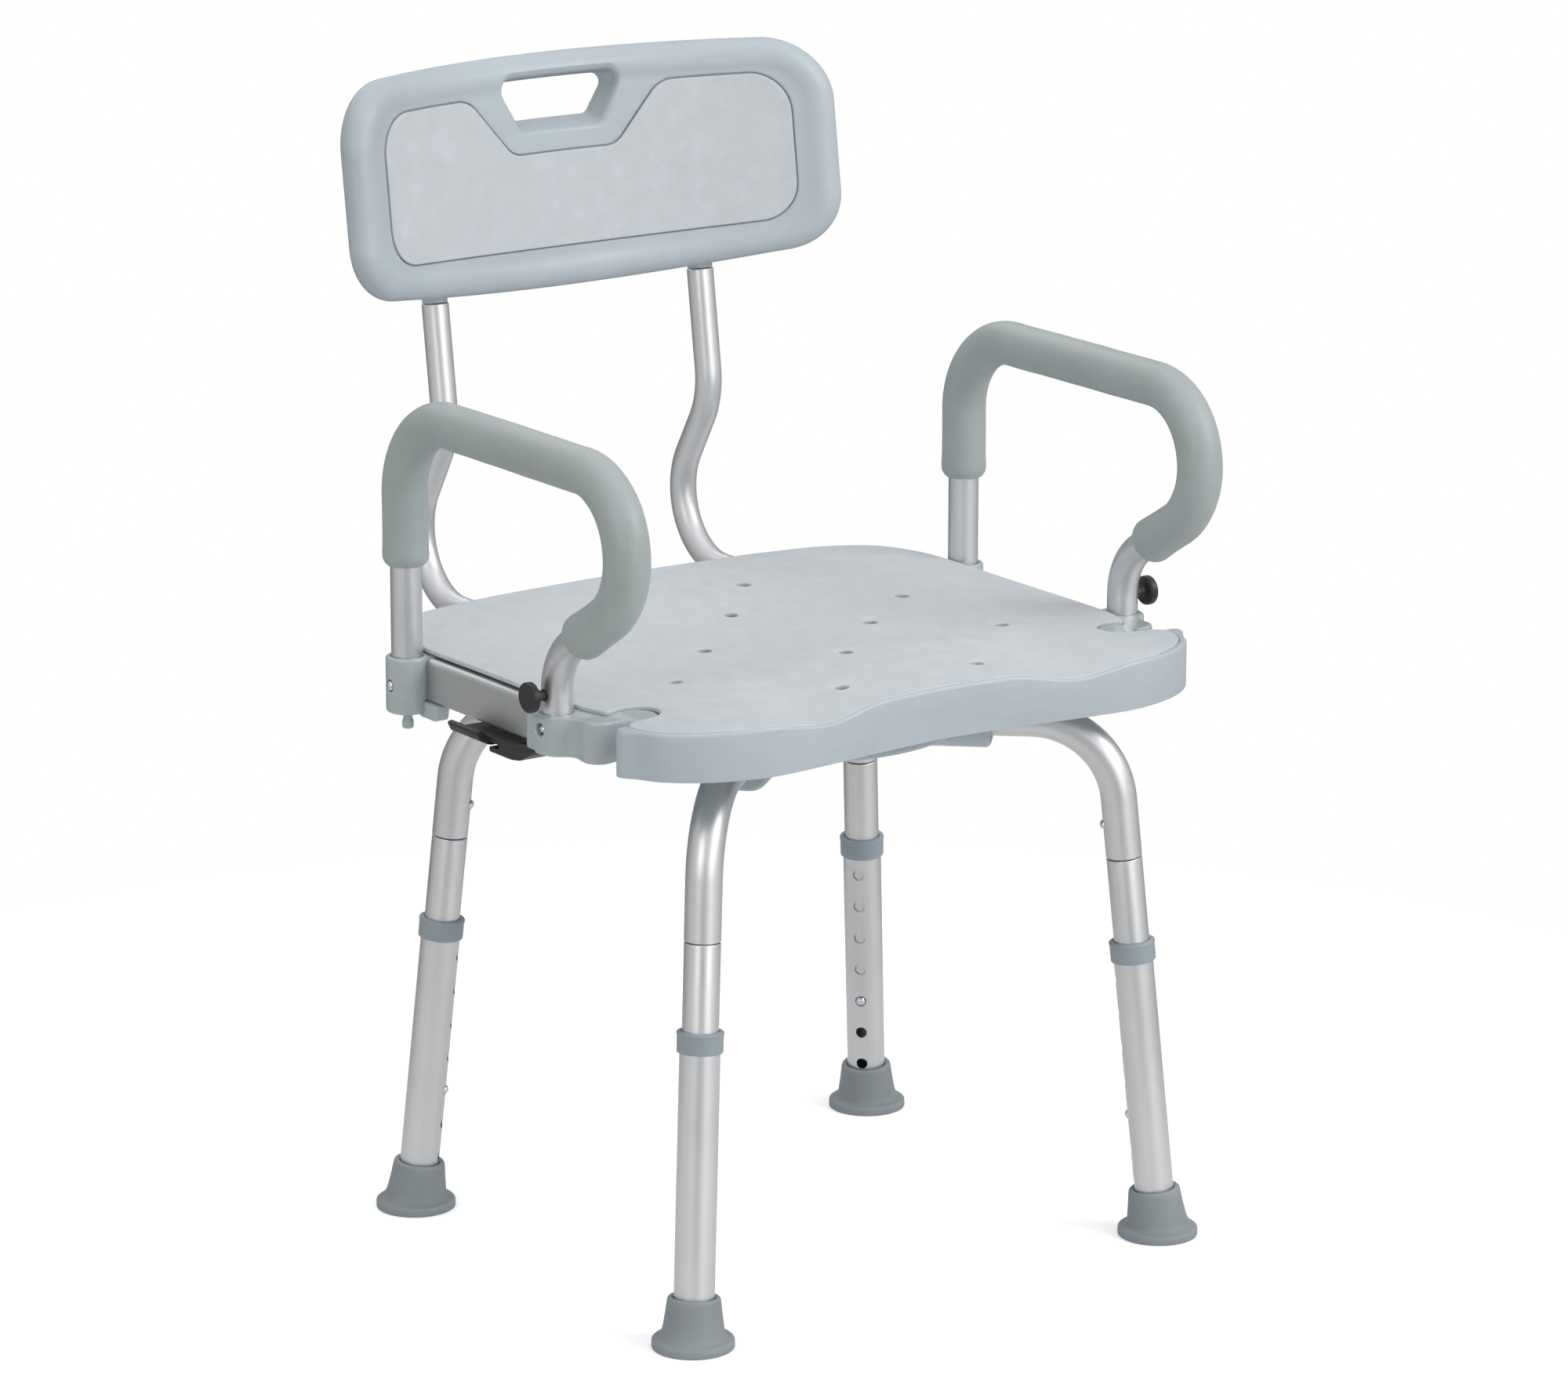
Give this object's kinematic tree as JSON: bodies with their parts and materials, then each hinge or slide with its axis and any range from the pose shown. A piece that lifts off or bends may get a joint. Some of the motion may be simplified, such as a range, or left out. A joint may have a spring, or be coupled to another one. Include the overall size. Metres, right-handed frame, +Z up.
{
  "type": "swivel bath chair",
  "caption": "Swivelling bath and shower chair: padded seat turning on a base plate, removable padded arms and curved backrest, splayed height-adjustable tube legs on rubber feet.",
  "frame": {"origin": "middle of the bounding box in plan, on the floor under the feet; the swivel axis is 53.4 mm in front of it, at y = -0.0534 m", "axes": "+Z up, +X towards the chair's side without the lever (a sitter looking along -Y has +X on the left hand), front of the chair towards -Y"},
  "size_m": [0.531, 0.517, 0.8048],
  "materials": {
    "tube": "satin anodised round tube, brighter on the bends",
    "rail": "satin anodised rectangular section, neutral grey",
    "plastic": "satin injection-moulded polypropylene, blue-grey",
    "bracket": "semi-gloss injection-moulded plastic, blue-grey",
    "collar": "darker blue-grey satin plastic",
    "pad": "very light grey closed-cell foam sheet, matt",
    "foam": "grey-green closed-cell foam sleeve, satin skin",
    "foot_rubber": "grey moulded rubber",
    "black_plastic": "black satin plastic",
    "chrome_button": "polished spring button",
    "steel": "plated steel",
    "bearing": "dark low-friction plastic"
  },
  "bodies": {
    "base": {"base_plate": "plastic", "turntable_lower_ring": "steel", "turntable_bearing": "bearing", "centre_bolt": "steel", "leg_upper_tube_fr": "tube", "leg_middle_tube_fr": "tube", "leg_upper_tube_rr": "tube", "leg_middle_tube_rr": "tube", "leg_upper_tube_rl": "tube", "leg_middle_tube_rl": "tube", "leg_upper_tube_fl": "tube", "leg_middle_tube_fl": "tube"},
    "seat": {"seat_body": "plastic", "seat_pad": "pad", "turntable_upper_ring": "steel", "side_rail_right": "rail", "front_arm_bracket_right": "bracket", "rear_arm_bracket_right": "bracket", "side_rail_left": "rail", "front_arm_bracket_left": "bracket", "rear_arm_bracket_left": "bracket"},
    "lower_leg_fr": {"leg_lower_tube_fr": "tube", "leg_collar_fr": "collar", "foot_fr": "foot_rubber"},
    "height_button_body_fr": {"height_button_fr": "chrome_button"},
    "leg_joint_button_body_fr": {"leg_joint_button_fr": "chrome_button"},
    "lower_leg_rr": {"leg_lower_tube_rr": "tube", "leg_collar_rr": "collar", "foot_rr": "foot_rubber"},
    "height_button_body_rr": {"height_button_rr": "chrome_button"},
    "leg_joint_button_body_rr": {"leg_joint_button_rr": "chrome_button"},
    "lower_leg_rl": {"leg_lower_tube_rl": "tube", "leg_collar_rl": "collar", "foot_rl": "foot_rubber"},
    "height_button_body_rl": {"height_button_rl": "chrome_button"},
    "leg_joint_button_body_rl": {"leg_joint_button_rl": "chrome_button"},
    "lower_leg_fl": {"leg_lower_tube_fl": "tube", "leg_collar_fl": "collar", "foot_fl": "foot_rubber"},
    "height_button_body_fl": {"height_button_fl": "chrome_button"},
    "leg_joint_button_body_fl": {"leg_joint_button_fl": "chrome_button"},
    "arm_right": {"arm_tube_right": "tube", "arm_pad_right": "foam"},
    "arm_rear_button_body_right": {"arm_rear_button_right": "chrome_button"},
    "arm_knob_body_right": {"arm_release_knob_right": "black_plastic"},
    "arm_front_button_body_right": {"arm_front_button_right": "chrome_button"},
    "arm_left": {"arm_tube_left": "tube", "arm_pad_left": "foam"},
    "arm_rear_button_body_left": {"arm_rear_button_left": "chrome_button"},
    "arm_knob_body_left": {"arm_release_knob_left": "black_plastic"},
    "arm_front_button_body_left": {"arm_front_button_left": "chrome_button"},
    "back": {"back_panel": "plastic", "back_pad": "pad", "back_tube_right": "tube", "back_tube_left": "tube"},
    "back_button_body_right": {"back_button_right": "chrome_button"},
    "back_button_body_left": {"back_button_left": "chrome_button"},
    "lever": {"swivel_lever": "black_plastic", "lever_wire": "steel"},
    "lock_pin_body": {"lock_pin": "steel"}
  },
  "joints": [
    {"name": "seat_swivel", "type": "hinge", "parent": "base", "child": "seat", "pos_m": [0, -0.05314, 0.395], "axis": [0, 0, 1], "continuous": true},
    {"name": "leg_height_fr", "type": "slide", "parent": "base", "child": "lower_leg_fr", "axis": [0.0758, -0.0668, -0.9949], "range_m": [-0.0508, 0.1016]},
    {"name": "height_button_press_fr", "type": "slide", "parent": "base", "child": "height_button_body_fr", "axis": [0.7463, -0.6579, 0.1011], "range_m": [0, 0.004]},
    {"name": "leg_joint_button_press_fr", "type": "slide", "parent": "base", "child": "leg_joint_button_body_fr", "axis": [0.7463, -0.6579, 0.1011], "range_m": [0, 0.0046]},
    {"name": "leg_height_rr", "type": "slide", "parent": "base", "child": "lower_leg_rr", "axis": [0.0758, 0.0668, -0.9949], "range_m": [-0.0508, 0.1016]},
    {"name": "height_button_press_rr", "type": "slide", "parent": "base", "child": "height_button_body_rr", "axis": [0.7463, 0.6579, 0.1011], "range_m": [0, 0.004]},
    {"name": "leg_joint_button_press_rr", "type": "slide", "parent": "base", "child": "leg_joint_button_body_rr", "axis": [0.7463, 0.6579, 0.1011], "range_m": [0, 0.0046]},
    {"name": "leg_height_rl", "type": "slide", "parent": "base", "child": "lower_leg_rl", "axis": [-0.0758, 0.0668, -0.9949], "range_m": [-0.0508, 0.1016]},
    {"name": "height_button_press_rl", "type": "slide", "parent": "base", "child": "height_button_body_rl", "axis": [-0.7463, 0.6579, 0.1011], "range_m": [0, 0.004]},
    {"name": "leg_joint_button_press_rl", "type": "slide", "parent": "base", "child": "leg_joint_button_body_rl", "axis": [-0.7463, 0.6579, 0.1011], "range_m": [0, 0.0046]},
    {"name": "leg_height_fl", "type": "slide", "parent": "base", "child": "lower_leg_fl", "axis": [-0.0758, -0.0668, -0.9949], "range_m": [-0.0508, 0.1016]},
    {"name": "height_button_press_fl", "type": "slide", "parent": "base", "child": "height_button_body_fl", "axis": [-0.7463, -0.6579, 0.1011], "range_m": [0, 0.004]},
    {"name": "leg_joint_button_press_fl", "type": "slide", "parent": "base", "child": "leg_joint_button_body_fl", "axis": [-0.7463, -0.6579, 0.1011], "range_m": [0, 0.0046]},
    {"name": "arm_lift_off_right", "type": "slide", "parent": "seat", "child": "arm_right", "axis": [0, 0, 1], "range_m": [0, 0.15]},
    {"name": "arm_rear_button_press_right", "type": "slide", "parent": "arm_right", "child": "arm_rear_button_body_right", "axis": [-1, 0, 0], "range_m": [0, 0.005]},
    {"name": "arm_knob_press_right", "type": "slide", "parent": "arm_right", "child": "arm_knob_body_right", "axis": [-1, 0, 0], "range_m": [0, 0.0035]},
    {"name": "arm_front_button_press_right", "type": "slide", "parent": "arm_right", "child": "arm_front_button_body_right", "axis": [-1, 0, 0], "range_m": [0, 0.0035]},
    {"name": "arm_lift_off_left", "type": "slide", "parent": "seat", "child": "arm_left", "axis": [0, 0, 1], "range_m": [0, 0.15]},
    {"name": "arm_rear_button_press_left", "type": "slide", "parent": "arm_left", "child": "arm_rear_button_body_left", "axis": [1, 0, 0], "range_m": [0, 0.005]},
    {"name": "arm_knob_press_left", "type": "slide", "parent": "arm_left", "child": "arm_knob_body_left", "axis": [1, 0, 0], "range_m": [0, 0.0035]},
    {"name": "arm_front_button_press_left", "type": "slide", "parent": "arm_left", "child": "arm_front_button_body_left", "axis": [1, 0, 0], "range_m": [0, 0.0035]},
    {"name": "back_pull_out", "type": "slide", "parent": "seat", "child": "back", "axis": [0, 1, 0], "range_m": [0, 0.15]},
    {"name": "back_button_press_right", "type": "slide", "parent": "back", "child": "back_button_body_right", "axis": [0, 0, 1], "range_m": [0, 0.0032]},
    {"name": "back_button_press_left", "type": "slide", "parent": "back", "child": "back_button_body_left", "axis": [0, 0, 1], "range_m": [0, 0.0032]},
    {"name": "swivel_lever_turn", "type": "hinge", "parent": "seat", "child": "lever", "pos_m": [-0.2, -0.08914, 0.3926], "axis": [-1, 0, 0], "range_deg": [0, 13]},
    {"name": "lock_pin_drop", "type": "slide", "parent": "seat", "child": "lock_pin_body", "axis": [0, 0, 1], "range_m": [-0.004, 0]}
  ],
  "couplings": [
    {"joint": "arm_front_button_press_right", "follows": "arm_knob_press_right", "ratio": 1},
    {"joint": "arm_front_button_press_left", "follows": "arm_knob_press_left", "ratio": 1},
    {"joint": "lock_pin_drop", "follows": "swivel_lever_turn", "m_per_rad": -0.0167}
  ]
}
